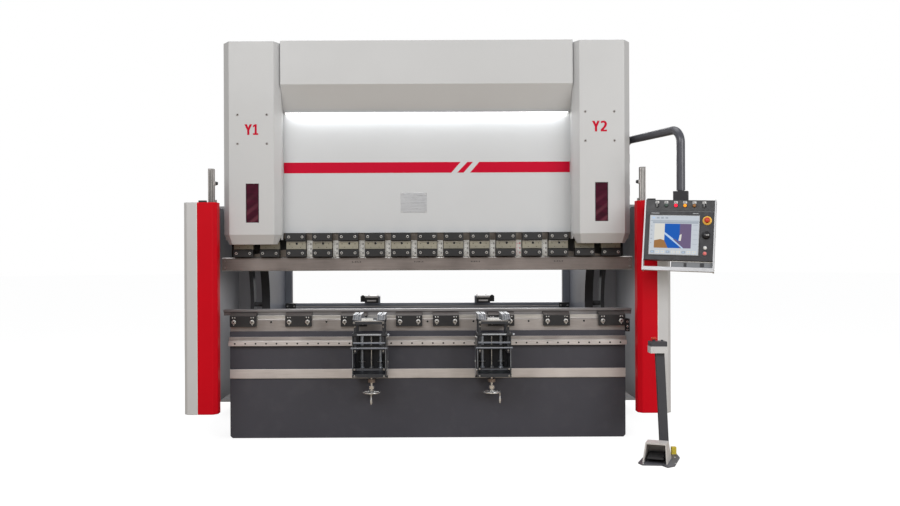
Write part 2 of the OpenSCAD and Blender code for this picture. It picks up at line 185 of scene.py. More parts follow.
M["blue_steel"] = steel("blued_steel", (0.24, 0.27, 0.33), 0.32, "x", 0.5, 0.12, 0.15, (0.14, 0.155, 0.19))
M["table"] = steel("table_rail", (0.36, 0.38, 0.42), 0.34, "y", 0.5, 0.25, 0.15, (0.20, 0.215, 0.24))
M["nut"] = steel("brown_nut", (0.36, 0.29, 0.25), 0.4, "n", 0.5, 0.15, 0.2)
# lighter brownish black for the clamps' upward faces: partly their top plate's colour, partly painted light
M["clamp_top"] = paint("clamp_top", (0.085, 0.072, 0.068), 0.42, 0.12)
M["zinc"] = steel("zinc_bolt", (0.72, 0.71, 0.69), 0.28, "n", 0.85, 0.10, 0.10, (0.60, 0.59, 0.57))
M["alu"] = steel("satin_aluminium", (0.42, 0.40, 0.385), 0.34, "z", 0.8, 0.15, 0.12)
M["alu_x"] = steel("satin_aluminium_x", (0.50, 0.505, 0.52), 0.42, "x", 0.6, 0.12, 0.08)
M["con"] = plastic("console_black", (0.016, 0.016, 0.021), 0.42)
M["con_dark"] = plastic("console_strip", (0.009, 0.009, 0.011), 0.35)
M["white"] = plastic("white_plastic", (0.72, 0.72, 0.71), 0.4)
M["label"] = plastic("white_scale", (0.78, 0.78, 0.76), 0.45, peel=0.03)
M["ink"] = plastic("black_ink", (0.02, 0.02, 0.022), 0.5, peel=0.02)
M["pink"] = plastic("pink_button", (0.75, 0.16, 0.15), 0.35)
M["estop"] = plastic("stop_red", (0.55, 0.035, 0.010), 0.35)
M["yellow"] = plastic("yellow_plastic", (0.86, 0.50, 0.06), 0.4)
M["gland"] = plastic("yellow_gland", (0.72, 0.56, 0.05), 0.42)
M["hood"] = plastic("hood_plastic", (0.60, 0.58, 0.56), 0.42, grain=500)
M["rubber"] = plastic("black_rubber", (0.028, 0.028, 0.030), 0.55)
M["post"] = paint("post_paint", (0.050, 0.052, 0.062), 0.40, 0.1)
M["base"] = paint("pedal_base_paint", (0.10, 0.10, 0.115), 0.45, 0.08)
M["arm"] = paint("arm_paint", (0.066, 0.067, 0.082), 0.30, 0.08, coat=0.2)
M["tank"] = paint("tank_paint", (0.11, 0.115, 0.13), 0.45, 0.06)
# near-black for the insides of holes, screw sockets, slots, gaps and stamped marks: painted shade
M["hole"] = plastic("hole_painted_shade", (0.006, 0.006, 0.006), 0.8)
M["led"] = glow("lamp_strip", (1.0, 0.985, 0.95), 9.0)
M["lamp_red"] = glow("lamp_red", (1.0, 0.02, 0.05), 1.2, (0.6, 0.01, 0.03))
M["lamp_amber"] = glow("lamp_amber", (1.0, 0.35, 0.02), 0.7, (0.7, 0.25, 0.02))
M["lamp_off"] = plastic("lamp_dark_amber", (0.30, 0.13, 0.03), 0.3)
M["lamp_green"] = plastic("lamp_dark_green", (0.05, 0.085, 0.07), 0.3)
M["scr_white"] = glow("screen_white", (0.66, 0.72, 0.8), 0.58, (0.16, 0.17, 0.18))
M["scr_grey"] = glow("screen_grey", (0.4, 0.46, 0.54), 0.55, (0.14, 0.155, 0.17))
M["scr_cream"] = glow("screen_cream", (0.74, 0.72, 0.66), 0.72, (0.16, 0.16, 0.15))
M["scr_blue"] = glow("screen_blue", (0.006, 0.095, 0.43), 0.75, (0.003, 0.03, 0.13))
M["scr_purple"] = glow("screen_purple", (0.135, 0.1, 0.19), 0.8, (0.04, 0.03, 0.055))
M["scr_brown"] = glow("screen_brown", (0.33, 0.16, 0.055), 0.7, (0.1, 0.05, 0.02))
M["scr_line"] = glow("screen_line", (0.45, 0.6, 0.82), 0.75, (0.12, 0.16, 0.2))
M["silver"] = steel("silver_plate", (0.62, 0.63, 0.65), 0.30, "x", 0.7, 0.05, 0.06)
M["bezel"] = steel("screen_bezel", (0.36, 0.37, 0.385), 0.4, "x", 0.5, 0.05, 0.06)
M["oil"] = plastic("gauge_dark", (0.02, 0.008, 0.012), 0.3)

# tinted window; its lower part carries a painted reflection: lighter greyish-pink diagonal streaks that fade out above
# z 1.70–1.90
m, nt, p = base("window_tint_painted_reflection")
tc = nt.nodes.new("ShaderNodeTexCoord").outputs["Object"]
node_link(nt, mix_color(nt, noise(nt, tc, 14.0, 3, (1, 1, 2.4)), (0.050, 0.004, 0.014), (0.085, 0.006, 0.024)), p.inputs["Base Color"])
p.inputs["Roughness"].default_value = 0.06
p.inputs["Specular IOR Level"].default_value = 0.18
p.inputs["Coat Weight"].default_value = 0.15
p.inputs["Coat Roughness"].default_value = 0.03
bump(nt, noise(nt, tc, 3.0, 1), p, 0.05, 0.002)
# painted reflection: slanted wave streaks over the lower glass, mixed toward greyish pink
geo = nt.nodes.new("ShaderNodeSeparateXYZ")
node_link(nt, tc, geo.inputs[0])
reflection_slant = nt.nodes.new("ShaderNodeMath")
reflection_slant.operation = "MULTIPLY_ADD"
reflection_slant.inputs[1].default_value = -0.8
node_link(nt, geo.outputs["X"], reflection_slant.inputs[0])
node_link(nt, geo.outputs["Z"], reflection_slant.inputs[2])
reflection_streaks = nt.nodes.new("ShaderNodeTexWave")
reflection_streaks.inputs["Scale"].default_value = 3.4
reflection_streaks.inputs["Distortion"].default_value = 1.6
reflection_streaks.inputs["Detail"].default_value = 2.0
cmb = nt.nodes.new("ShaderNodeCombineXYZ")
node_link(nt, reflection_slant.outputs[0], cmb.inputs["X"])
node_link(nt, cmb.outputs[0], reflection_streaks.inputs["Vector"])
low = span(nt, geo.outputs["Z"], 1.0, 0.0, 1.70, 1.90)
reflection_amount = nt.nodes.new("ShaderNodeMath")
reflection_amount.operation = "MULTIPLY"
node_link(nt, low, reflection_amount.inputs[0])
node_link(nt, span(nt, reflection_streaks.outputs["Fac"], 0.0, 0.45, 0.45, 0.95), reflection_amount.inputs[1])
mx = nt.nodes.new("ShaderNodeMix")
mx.data_type = "RGBA"
node_link(nt, reflection_amount.outputs[0], mx.inputs[0])
node_link(nt, mix_color(nt, noise(nt, tc, 14.0, 3, (1, 1, 2.4)), (0.040, 0.002, 0.011), (0.066, 0.003, 0.018)), mx.inputs[6])
mx.inputs[7].default_value = (0.20, 0.055, 0.075, 1)
node_link(nt, mx.outputs[2], p.inputs["Base Color"])
M["window"] = m


# ---------------------------------------------------------------- mesh tools

class Piece:
    """Collects shapes with their materials into one mesh, in metres."""

    def __init__(self, name, body, mats, slot=None, bevel=0.0, segs=2, smooth=False):
        self.name, self.body, self.mats, self.slot = name, body, mats, slot
        self.bevel, self.segs, self.smooth = bevel, segs, smooth
        self.bm = bmesh.new()
        self.tr = Matrix.Identity(4)

    def _add(self, verts, faces, mat, smooth=False):
        vs = [self.bm.verts.new(self.tr @ Vector(v)) for v in verts]
        for f in faces:
            face = self.bm.faces.new([vs[i] for i in f])
            face.material_index = self.mats.index(mat)
            face.smooth = smooth

    def box(self, lo, hi, mat, c=0.0):
        """A box; c chamfers its edges."""
        x0, y0, z0 = lo
        x1, y1, z1 = hi
        if c <= 0:
            v = [(x0, y0, z0), (x1, y0, z0), (x1, y1, z0), (x0, y1, z0), (x0, y0, z1), (x1, y0, z1), (x1, y1, z1), (x0, y1, z1)]
            self._add(v, [(0, 3, 2, 1), (4, 5, 6, 7), (0, 1, 5, 4), (1, 2, 6, 5), (2, 3, 7, 6), (3, 0, 4, 7)], mat)
            return
        v, idx = [], {}
        for sx in (0, 1):
            for sy in (0, 1):
                for sz in (0, 1):
                    X, Y, Z = (x0, x1)[sx], (y0, y1)[sy], (z0, z1)[sz]
                    dx, dy, dz = (c, -c)[sx], (c, -c)[sy], (c, -c)[sz]
                    idx[sx, sy, sz, 0] = len(v); v.append((X, Y + dy, Z + dz))
                    idx[sx, sy, sz, 1] = len(v); v.append((X + dx, Y, Z + dz))
                    idx[sx, sy, sz, 2] = len(v); v.append((X + dx, Y + dy, Z))
        f = []
        for s in (0, 1):
            q = [idx[s, a, b, 0] for a, b in ((0, 0), (1, 0), (1, 1), (0, 1))]
            f.append(q if s else q[::-1])
            q = [idx[a, s, b, 1] for a, b in ((0, 0), (1, 0), (1, 1), (0, 1))]
            f.append(q[::-1] if s else q)
            q = [idx[a, b, s, 2] for a, b in ((0, 0), (1, 0), (1, 1), (0, 1))]
            f.append(q if s else q[::-1])
        for a in (0, 1):
            for b in (0, 1):
                f.append([idx[a, b, 0, 0], idx[a, b, 0, 1], idx[a, b, 1, 1], idx[a, b, 1, 0]])
                f.append([idx[a, 0, b, 0], idx[a, 0, b, 2], idx[a, 1, b, 2], idx[a, 1, b, 0]])
                f.append([idx[0, a, b, 1], idx[0, a, b, 2], idx[1, a, b, 2], idx[1, a, b, 1]])
                for s in (0, 1):
                    f.append([idx[a, b, s, 0], idx[a, b, s, 1], idx[a, b, s, 2]])
        self._add(v, f, mat)

    def lathe(self, at, axis, prof, mat, n=24, mats=None, smooth=True, ang=None):
        """A turned shape: prof is [(radius, height along axis)], closed at both ends where radius is 0."""
        q = Vector(axis).normalized().to_track_quat("Z", "Y").to_matrix().to_4x4()
        T = Matrix.Translation(Vector(at)) @ q
        rings = []
        for r, h in prof:
            if r <= 1e-7:
                rings.append([self.bm.verts.new(self.tr @ (T @ Vector((0, 0, h))))])
            else:
                rings.append([self.bm.verts.new(self.tr @ (T @ Vector((r * math.cos(2 * math.pi * (k + 0.5) / n), r * math.sin(2 * math.pi * (k + 0.5) / n), h)))) for k in range(n)])
        for i in range(len(rings) - 1):
            a, b = rings[i], rings[i + 1]
            mm = mats[i] if mats else mat
            flat = abs(prof[i][1] - prof[i + 1][1]) < 1e-9
            for k in range(n):
                k2 = (k + 1) % n
                if len(a) == 1 and len(b) == 1:
                    continue
                if len(a) == 1:
                    vs = [a[0], b[k], b[k2]]
                elif len(b) == 1:
                    vs = [a[k], a[k2], b[0]]
                else:
                    vs = [a[k], a[k2], b[k2], b[k]]
                face = self.bm.faces.new(vs)
                face.material_index = self.mats.index(mm)
                face.smooth = smooth and not flat
        return

    def socket_bolt(self, at, axis, r, h, mat, hole, n=20):
        """A socket head screw with a bevelled rim and a hex hole."""
        q = Vector(axis).normalized().to_track_quat("Z", "Y").to_matrix().to_4x4()
        T = Matrix.Translation(Vector(at)) @ q
        b = r * 0.16
        self.lathe(at, axis, [(r, 0), (r, h - b), (r - b, h)], mat, n)
        # top ring to hexagon, then the socket
        ring = [T @ Vector(((r - b) * math.cos(2 * math.pi * (k + 0.5) / 18), (r - b) * math.sin(2 * math.pi * (k + 0.5) / 18), h)) for k in range(18)]
        hexo = [T @ Vector((r * 0.52 * math.cos(math.pi * k / 3 + 0.2), r * 0.52 * math.sin(math.pi * k / 3 + 0.2), h)) for k in range(6)]
        hexi = [T @ Vector((r * 0.52 * math.cos(math.pi * k / 3 + 0.2), r * 0.52 * math.sin(math.pi * k / 3 + 0.2), h * 0.45)) for k in range(6)]
        self._cap(T, r - b, h, r * 0.52, h * 0.45, mat, hole, n)

    def _cap(self, T, ro, h, ri, hb, mat, hole, n):
        out = [self.bm.verts.new(self.tr @ (T @ Vector((ro * math.cos(2 * math.pi * (k + 0.5) / n), ro * math.sin(2 * math.pi * (k + 0.5) / n), h)))) for k in range(n)]
        # hexagon sampled at n points so the ring closes without gaps
        def hexr(a):
            a = (a + math.pi / 6) % (math.pi / 3) - math.pi / 6
            return ri * math.cos(math.pi / 6) / math.cos(a)
        inn, low = [], []
        for k in range(n):
            a = 2 * math.pi * (k + 0.5) / n
            rr = hexr(a)
            inn.append(self.bm.verts.new(self.tr @ (T @ Vector((rr * math.cos(a), rr * math.sin(a), h)))))
            low.append(self.bm.verts.new(self.tr @ (T @ Vector((rr * math.cos(a), rr * math.sin(a), hb)))))
        mi, hi_ = self.mats.index(mat), self.mats.index(hole)
        for k in range(n):
            k2 = (k + 1) % n
            f = self.bm.faces.new([out[k], out[k2], inn[k2], inn[k]]); f.material_index = mi
            f = self.bm.faces.new([inn[k], inn[k2], low[k2], low[k]]); f.material_index = hi_
        f = self.bm.faces.new(low); f.material_index = hi_

    def disc_hole(self, at, axis, r, mat, rim=None, n=20, depth=0.0006, rimw=0.0012):
        """A drilled hole seen from outside: a low rim with a shallow dished floor, whose dark colour is painted shade
        standing in for the hole's depth.
        """
        self.lathe(at, axis, [(r + rimw, 0), (r + rimw * 0.5, depth), (r, depth), (r * 0.96, depth * 0.3), (0, depth * 0.25)], mat, n,
                   mats=[rim or mat, rim or mat, mat, mat])

    def prism(self, pts, z0, z1, mat, plane="xz", y=0.0):
        """A flat outline pushed from z0 to z1 along the third axis."""
        n = len(pts)
        def P(a, b, c):
            return {"xz": (a, c, b), "xy": (a, b, c), "yz": (c, a, b)}[plane]
        v = [P(a, b, z0) for a, b in pts] + [P(a, b, z1) for a, b in pts]
        f = [tuple(range(n)), tuple(range(2 * n - 1, n - 1, -1))]
        f += [(i, i + n, (i + 1) % n + n, (i + 1) % n) for i in range(n)]
        self._add(v, f, mat)

    def tube(self, pts, r, mat, n=12):
        """A round bar along points."""
        pts = [Vector(p) for p in pts]
        rings = []
        up = None
        for i, p in enumerate(pts):
            d = (pts[min(i + 1, len(pts) - 1)] - pts[max(i - 1, 0)]).normalized()
            if up is None:
                up = d.orthogonal().normalized()
            up = (up - d * up.dot(d)).normalized()
            side = d.cross(up)
            rings.append([self.bm.verts.new(self.tr @ (p + r * (math.cos(2 * math.pi * k / n) * up + math.sin(2 * math.pi * k / n) * side))) for k in range(n)])
        mi = self.mats.index(mat)
        for a, b in zip(rings, rings[1:]):
            for k in range(n):
                f = self.bm.faces.new([a[k], a[(k + 1) % n], b[(k + 1) % n], b[k]])
                f.material_index = mi
                f.smooth = True
        for ring, rev in ((rings[0], True), (rings[-1], False)):
            f = self.bm.faces.new(ring[::-1] if rev else ring)
            f.material_index = mi

    def done(self):
        bmesh.ops.recalc_face_normals(self.bm, faces=self.bm.faces)
        me = bpy.data.meshes.new(self.name)
        self.bm.to_mesh(me)
        self.bm.free()
        for k in self.mats:
            me.materials.append(M[k])
        ob = bpy.data.objects.new(self.name, me)
        scene.collection.objects.link(ob)
        if self.bevel > 0:
            soften(ob, self.bevel, self.segs)
        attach(ob, self.body)
        return ob


def soften(ob, width, segs=2, weld=False, angle=35):
    if weld:
        w = ob.modifiers.new("weld", "WELD")
        w.merge_threshold = 0.00002
    b = ob.modifiers.new("bevel", "BEVEL")
    b.width = width
    b.segments = segs
    b.limit_method = "ANGLE"
    b.angle_limit = math.radians(angle)
    b.use_clamp_overlap = True
    b.harden_normals = False
    n = ob.modifiers.new("normals", "WEIGHTED_NORMAL")
    n.keep_sharp = True


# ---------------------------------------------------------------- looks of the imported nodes

LOOK = {
    "bed": ("dark", 0.003), "guide_rail": ("rail", 0.0012), "die_holder": ("ground", 0.0015), "die": ("die", 0.0012),
    "die_clamps": ("black", 0.002), "crowning_block": ("black", 0.002), "frame_left": ("frame", 0.002), "frame_right": ("frame", 0.002),
    "gauge_frames": ("black", 0.001), "cabinet_left": ("grey", 0.004), "cabinet_right": ("grey", 0.004), "side_panels": ("grey", 0.002),
    "guard_fronts": ("red", 0.005), "guard_sides": ("guard_light", 0.005), "guard_posts": ("alu", 0.002), "fascia": ("light", 0.003),
    "cover_left": ("light", 0.004), "cover_right": ("light", 0.004), "cover_windows": ("window", 0.0), "cylinders": ("black", 0.002),
    "oil_tank": ("tank", 0.006), "rear_frame": ("frame", 0.003), "gauge_rails": ("frame", 0.0015), "arm_bracket": ("black", 0.0015),
    "pedal_base": ("base", 0.0015), "pedal_hood": ("hood", 0.003), "pedal_post": ("post", 0.0015),
    "ram": ("ram", 0.002), "piston_rods": ("chrome", 0.0015), "tool_holder": ("adapter", 0.0012), "upper_clamps": ("black", 0.0018),
    "punch_beam": ("beam", 0.0), "console_arm": ("arm", 0.0), "console_box": ("con", 0.0015), "console_frame": ("alu_x", 0.0012),
    "support_left": ("support", 0.0008), "support_right": ("support", 0.0008), "table_left": ("support", 0.0008), "table_right": ("support", 0.0008),
    "handwheel_left": ("wheel", 0.0), "handwheel_right": ("wheel", 0.0), "gauge_beam": ("frame", 0.0012),
    "gauge_carriages": ("black", 0.0012), "finger_left": ("black", 0.0012), "finger_right": ("black", 0.0012), "pedal": ("rubber", 0.001),
}
for n, (k, w) in LOOK.items():
    if n not in nodes:
        continue
    ob = nodes[n]
    ob.data.materials.clear()
    ob.data.materials.append(M[k])
    if w:
        soften(ob, w, 2, weld=True)


def recolour(node, mats, pick):
    """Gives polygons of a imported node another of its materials; pick(centre, normal) says which."""
    me = nodes[node].data
    for k in mats:
        me.materials.append(M[k])
    for poly in me.polygons:
        i = pick(poly.center, poly.normal)
        if i:
            poly.material_index = i


# machined strip along the bed, brighter edges of the holder, slotted rails of the tables
recolour("bed", ["strip"], lambda c, n: 1 if c.y < -0.0901 and 0.46 < c.z < 0.534 and n.y < -0.5 else 0)
recolour("die_holder", ["bright"], lambda c, n: 1 if c.z > 0.9135 and n.y < -0.9 else 0)
recolour("guide_rail", ["ground", "bright"], lambda c, n: (1 if c.z > 0.7505 and n.y < -0.9 else (2 if n.z > 0.9 else 0)))
for s in ("left", "right"):
    recolour("table_" + s, ["table", "blue_steel"], lambda c, n: 1 if c.z > 0.9325 else 0)
    recolour("handwheel_" + s, ["nut"], lambda c, n: 1 if 0.4385 < c.z < 0.4655 else 0)
    recolour("cabinet_" + s, ["plinth"], lambda c, n: 1 if c.z < 0.1561 else 0)
    recolour("support_" + s, ["blue_steel", "rod"], lambda c, n: (1 if 0.722 < c.z < 0.734 and c.y < -0.449 else (2 if c.y > -0.2 and c.y < -0.165 and 0.54 < c.z < 0.796 and abs(n.z) < 0.5 else 0)))
# front faces of the tool holder take the holder steel, and near-black at the ends beyond |x| 1.09: painted shade in the
# gaps there
recolour("tool_holder", ["holder", "hole"], lambda c, n: ((2 if abs(c.x) > 1.09 else 1) if c.y > -0.02 and n.y < -0.5 else 0))
# upward faces of the die clamps take a lighter brownish black: partly their brownish top plate, partly painted light
# where the tops face the lamps
recolour("die_clamps", ["clamp_top"], lambda c, n: 1 if n.z > 0.2 and n.y < 0.2 else 0)
for s, X in (("left", -0.490), ("right", 0.490)):
    recolour("finger_" + s, ["blue_steel", "alu_x"], lambda c, n: (0 if abs(c.x - X) > 0.0605 else (1 if c.y > 0.91 else (2 if n.z > 0.5 or c.z > 1.03 else 0))))
# faces round each C-frame's throat rim take black steel: partly a dark rim, partly painted shade where the rim sits in
# shadow
for s in ("left", "right"):
    recolour("frame_" + s, ["black"], lambda c, n: 1 if abs(n.x) < 0.3 and c.y > 0 and abs(math.hypot(c.y + 0.110, c.z - 1.000) - 0.560) < 0.012 else 0)
# side-panel faces towards the centre and the cabinets' front faces take the lighter grey: painted light standing in for
# the light in the shaded cavities
recolour("side_panels", ["inner"], lambda c, n: 1 if n.x * c.x < -0.5 else 0)
for s in ("left", "right"):
    me_ = nodes["cabinet_" + s].data
    me_.materials.append(M["inner"])
    for poly in me_.polygons:
        if poly.normal.y < -0.9:
            poly.material_index = 2
recolour("punch_beam", ["bright"], lambda c, n: 1 if n.y < -0.5 and abs(n.z) > 0.5 and (c.z > 1.385 or c.z < 1.296) else 0)
recolour("pedal_post", ["guard_light", "estop"], lambda c, n: (1 if 0.724 < c.z < 0.7712 else (2 if c.z > 0.8155 and c.x < 1.60 else 0)))
recolour("pedal_base", ["gland"], lambda c, n: 1 if c.x > 1.70 and c.z > 0.0085 and c.y < -0.71 and c.y > -0.75 and abs(c.x - 1.7195) < 0.017 else 0)

# ---------------------------------------------------------------- ram: stripe, plate, marks

FY = -0.035
p_ = Piece("ram_stripe", "ram", ["red_mark"], "paint_red")
z0, z1 = 2.047, 2.130


def band(ba, bb, ta, tb):
    p_.prism([(ba, z0), (bb, z0), (tb, z1), (ta, z1)], FY - 0.0008, FY + 0.0002, "red_mark", "xz")


band(-1.112, 0.190, -1.112, 0.262)
band(0.236, 0.285, 0.3156, 0.3584)
band(0.3358, 1.112, 0.408, 1.112)
p_.done()

p_ = Piece("ram_plate", "ram", ["silver", "zinc", "hole"], "aluminium")
p_.box((-0.204, FY - 0.0016, 1.738), (-0.002, FY + 0.0002, 1.891), "silver", 0.0006)
for x in (-0.195, -0.011):
    for z in (1.745, 1.882):
        p_.lathe((x, FY - 0.0014, z), (0, -1, 0), [(0.0035, 0), (0.0030, 0.0012), (0.0, 0.0016)], "zinc", 12)
p_.done()

# ---------------------------------------------------------------- upper tools

PITCH = 0.2032
p_ = Piece("upper_clamp_screws", "ram", ["zinc", "hole"], "chrome")
for i in range(-7, 8):
    x = i * PITCH
    for dx in (-0.052, 0.052):
        p_.socket_bolt((x + dx, -0.0951, 1.551), (0, -1, 0), 0.0115, 0.006, "zinc", "hole", 18)
        p_.socket_bolt((x + dx, -0.0821, 1.426), (0, -1, 0), 0.0115, 0.006, "zinc", "hole", 18)
p_.done()

p_ = Piece("adapter_holes", "ram", ["hole", "adapter", "bright"], "adapter_steel")
for i in range(-7, 8):
    x = i * PITCH
    p_.disc_hole((x + 0.006, -0.0621, 1.500), (0, -1, 0), 0.0095, "hole", "bright", 18)
    for dx in (-0.050, 0.050):
        p_.disc_hole((x + dx, -0.0621, 1.497), (0, -1, 0), 0.0035, "hole", "adapter", 12)
    for dx in (-0.030, 0.034):
        p_.disc_hole((x + dx, -0.0621, 1.470), (0, -1, 0), 0.0028, "hole", "adapter", 12)
    # bright strip along the top edge of each adapter, a painted edge highlight on the machined edge
    p_.box((x - 0.0745, -0.0628, 1.5125), (x + 0.0745, -0.0618, 1.5155), "bright")
p_.done()

p_ = Piece("tool_scales", "ram", ["label", "ink", "red_mark"], "paint_light")
for i in range(-5, 5):
    xc = (i + 0.5) * PITCH
    w = 0.0215
    p_.box((xc - w, -0.0262, 1.397), (xc + w, -0.0150, 1.523), "label", 0.0008)
    for k in range(12):
        z = 1.405 + k * 0.0098
        long_ = k % 3 == 0
        p_.box((xc - w + 0.003, -0.0266, z), (xc - w + (0.020 if long_ else 0.011), -0.0261, z + 0.0018), "ink" if i != 3 else "red_mark")
    for k in range(3):
        z = 1.418 + k * 0.036
        p_.box((xc + 0.004, -0.0266, z), (xc + 0.0145, -0.0261, z + 0.012), "ink" if i != 3 else "red_mark")
        p_.box((xc + 0.0065, -0.02665, z + 0.003), (xc + 0.0120, -0.02655, z + 0.009), "label")
p_.done()

# marks stamped on the beam and two screws at each end
p_ = Piece("beam_marks", "ram", ["hole", "bright"], "ground_steel")
for xc in (-0.585, -0.100, 0.340, 0.985):
    for k in range(6):
        h = (0.010, 0.006, 0.010, 0.010, 0.005, 0.010)[k]
        p_.box((xc + k * 0.0125, -0.0403, 1.351), (xc + k * 0.0125 + 0.0055, -0.0399, 1.351 + h), "hole")
for s in (-1, 1):
    for z in (1.315, 1.366):
        p_.socket_bolt((s * 1.572, -0.0401, z), (0, -1, 0), 0.007, 0.003, "bright", "hole", 16)
p_.done()

# ---------------------------------------------------------------- covers

CF = -0.234
p_ = Piece("cover_screws", "frame", ["alu", "hole"], "chrome")
for x, z in ((-1.430, 2.474), (-1.208, 2.474), (-1.430, 2.255), (-1.208, 2.255), (1.199, 2.488), (1.418, 2.488), (1.199, 2.268), (1.418, 2.268)):
    p_.lathe((x, CF + 0.0002, z), (0, -1, 0), [(0.0100, 0), (0.0096, 0.0014), (0.0066, 0.0040), (0.0038, 0.0045), (0.0038, 0.0026), (0, 0.0026)], "alu", 16,
             mats=["alu", "alu", "alu", "hole", "hole"])
p_.done()
GLYPH = {
    "Y": (52, [(0, 72), (17, 72), (26, 50), (35, 72), (52, 72), (33.5, 32), (33.5, 0), (18.5, 0), (18.5, 32)]),
    "1": (35, [(0, 0), (35, 0), (35, 11), (25, 11), (25, 72), (14, 72), (0, 64), (0, 51), (11, 57), (11, 11), (0, 11)]),
    "2": (42, [(0, 0), (42, 0), (42, 12), (19, 12), (30, 24), (38, 35), (41, 45), (41, 55), (37, 65), (29, 71), (18, 73), (8, 71), (1, 67), (1, 53),
               (8, 58), (16, 60), (22, 59), (26, 54), (25, 45), (19, 34), (9, 22), (0, 13)]),
}
for name_, word, xc, zc in (("axis_mark_left", "Y1", -1.325, 2.361), ("axis_mark_right", "Y2", 1.306, 2.376)):
    p_ = Piece(name_, "frame", ["red_mark"], "paint_red")
    w_ = (sum(GLYPH[c][0] for c in word) + 6) * 1.12
    x = xc - w_ / 2000
    for c in word:
        gw, pts = GLYPH[c]
        p_.prism([(x + u * 0.00112, zc - 0.040 + v * 0.00112) for u, v in pts], CF - 0.0010, CF + 0.0002, "red_mark", "xz")
        x += (gw + 6) * 0.00112
    p_.done()

p_ = Piece("window_frames", "frame", ["oil"], "paint_red")
for s in (-1, 1):
    xa, xb = sorted((s * 1.272, s * 1.368))
    za, zb = 1.658, 1.953
    t = 0.003
    for lo, hi in (((xa, za), (xb, za + t)), ((xa, zb - t), (xb, zb)), ((xa, za), (xa + t, zb)), ((xb - t, za), (xb, zb))):
        p_.box((lo[0], CF + 0.0004, lo[1]), (hi[0], CF + 0.0030, hi[1]), "oil")
p_.done()

# ---------------------------------------------------------------- lamp under the fascia

p_ = Piece("lamp_body", "frame", ["alu_x", "led"], "aluminium")
p_.box((-1.105, -0.0640, 2.5105), (1.105, -0.0420, 2.5215), "alu_x", 0.001)
p_.box((-1.095, -0.0600, 2.5085), (1.095, -0.0455, 2.5110), "led", 0.0006)
p_.done()

# ---------------------------------------------------------------- bed details

p_ = Piece("rail_screws", "frame", ["hole", "rail"], "rail_steel")
x = -1.480
while x <= 1.4801:
    p_.disc_hole((x, -0.12705, 0.732), (0, -1, 0), 0.0068, "hole", "rail", 16, 0.0003, 0.0016)
    x += 0.080
p_.done()

p_ = Piece("bed_bands", "frame", ["bright", "hole", "dark"], "ground_steel")
# bright strips along the upper edge of the rail's seat and the step over the machined strip: bare steel edges whose
# brightness is partly a painted edge highlight
p_.box((-1.528, -0.1056, 0.7508), (1.528, -0.1048, 0.7548), "bright")
p_.box((-1.524, -0.1008, 0.4612), (1.524, -0.0998, 0.4660), "bright")
p_.done()

CX = [s * c for s in (-1, 1) for c in (0.142, 0.568, 0.996, 1.423)]
p_ = Piece("die_clamp_screws", "frame", ["zinc", "hole", "bright", "black"], "chrome")
for x in CX:
    for dx in (-0.0706, 0.0706):
        p_.socket_bolt((x + dx, -0.1001, 0.8955), (0, -1, 0), 0.0130, 0.0095, "zinc", "hole", 20)
        p_.lathe((x + dx, -0.1000, 0.8955), (0, -1, 0), [(0.0175, 0), (0.0175, 0.0022), (0.0130, 0.0026)], "zinc", 20)
        p_.lathe((x + dx, -0.1000, 0.8745), (0, -1, 0), [(0.0040, 0), (0.0038, 0.003), (0, 0.0034)], "zinc", 12)
    for dx in (-0.062, 0.062, -0.080, 0.080):
        p_.lathe((x + dx, -0.1000, 0.930), (0, -1, 0), [(0.0052, 0), (0.0048, 0.0022), (0, 0.0028)], "zinc", 12)
for xa, xb in zip(sorted(CX), sorted(CX)[1:]):
    xm = (xa + xb) / 2
    p_.disc_hole((xm, -0.0721, 0.894), (0, -1, 0), 0.0085, "hole", "bright", 18)
p_.done()

p_ = Piece("crowning_screws", "frame", ["zinc", "hole", "black"], "chrome")
p_.socket_bolt((1.544, -0.0781, 0.885), (0, -1, 0), 0.009, 0.005, "zinc", "hole", 18)
p_.lathe((1.544, -0.0780, 0.850), (0, -1, 0), [(0.0085, -0.004), (0.0085, 0.006), (0.006, 0.009), (0, 0.009)], "zinc", 18)
p_.socket_bolt((1.544, -0.0781, 0.823), (0, -1, 0), 0.006, 0.004, "zinc", "hole", 16)
p_.done()

# ---------------------------------------------------------------- guards

p_ = Piece("guard_details", "frame", ["hole", "alu", "rubber", "zinc", "label"], "aluminium")
for s in (-1, 1):
    # three near-black strips down each post's front: painted shade
    for dx in (-0.011, 0.0, 0.011):
        x = s * 1.5965 + dx
        p_.box((x - 0.0022, -0.3884, 1.806), (x + 0.0022, -0.3876, 2.046), "hole")
    p_.box((s * 1.5965 - 0.0205, -0.3880, 2.0490), (s * 1.5965 + 0.0205, -0.3390, 2.0530), "rubber", 0.001)
    p_.lathe((s * 1.564, -0.365, 1.945), (-s, 0, 0), [(0.012, -0.002), (0.013, 0.006), (0.011, 0.014), (0, 0.015)], "rubber", 18)
    # low catch on top of the guard and a light strip down the corner between its two skins, a painted edge highlight
    p_.box((s * 1.655 - 0.030, -0.405, 1.8035), (s * 1.655 + 0.030, -0.380, 1.8180), "rubber", 0.003)
    p_.box((s * 1.6965 - 0.0025, -0.4126, 0.2420), (s * 1.6965 + 0.0025, -0.4110, 1.8000), "label")
    # brackets that carry each post
    p_.box((s * 1.5965 - 0.028, -0.338, 1.803), (s * 1.5965 + 0.028, -0.309, 1.826), "alu", 0.002)
    for z in (0.30, 1.02, 1.74):
        p_.lathe((s * 1.795, -0.345, z), (s, 0, 0), [(0.008, 0), (0.007, 0.002), (0, 0.003)], "zinc", 14)
p_.done()

# ---------------------------------------------------------------- sheet supports

def rail_z(y):
    """Height of the slotted rails' top: flat, then a ramp down at the front."""
    return 0.972 if y > -0.420 else 0.972 - (-0.420 - y) / 0.078 * 0.032


